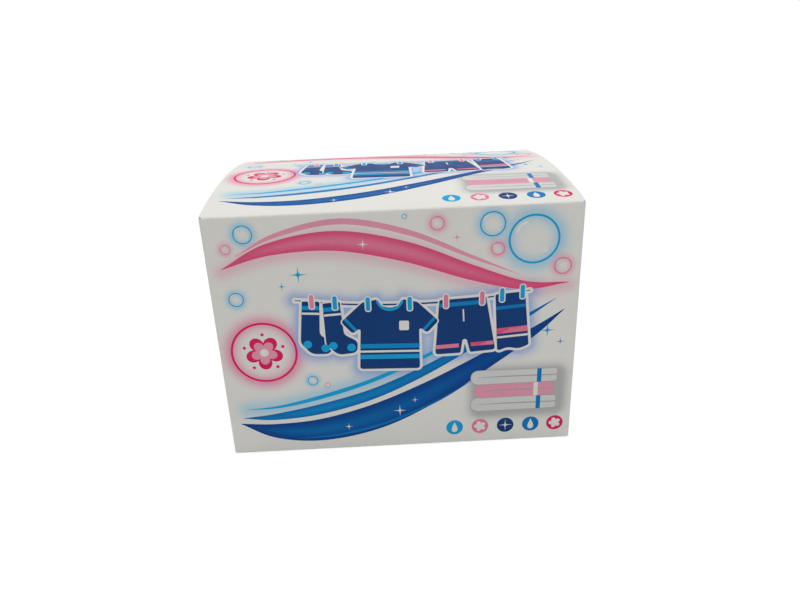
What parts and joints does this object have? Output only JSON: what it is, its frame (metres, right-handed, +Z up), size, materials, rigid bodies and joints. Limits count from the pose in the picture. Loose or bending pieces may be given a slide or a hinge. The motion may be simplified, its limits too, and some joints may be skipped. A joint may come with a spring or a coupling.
{
  "type": "washing powder box",
  "caption": "Folded board carton with a bowed tuck lid that folds up from its front edge, filled with washing powder on which a measuring spoon lies.",
  "frame": {"origin": "centre of the underside, on the surface that the box stands on", "axes": "+X to the right along the front panel, +Y from the front panel to the back, +Z up; the lid turns about its fold with the front panel"},
  "size_m": [0.125, 0.089, 0.0943],
  "materials": {
    "printed_board": "coated",
    "powder_grains": "matte",
    "spoon_plastic": "satin"
  },
  "bodies": {
    "box": {"carton": "printed_board", "measuring_spoon": "spoon_plastic", "powder": "powder_grains"},
    "lid": {"lid": "printed_board"}
  },
  "joints": [
    {"name": "lid_fold", "type": "hinge", "parent": "box", "child": "lid", "pos_m": [0, -0.04424, 0.09074], "axis": [1, 0, 0], "range_deg": [0, 180]}
  ]
}
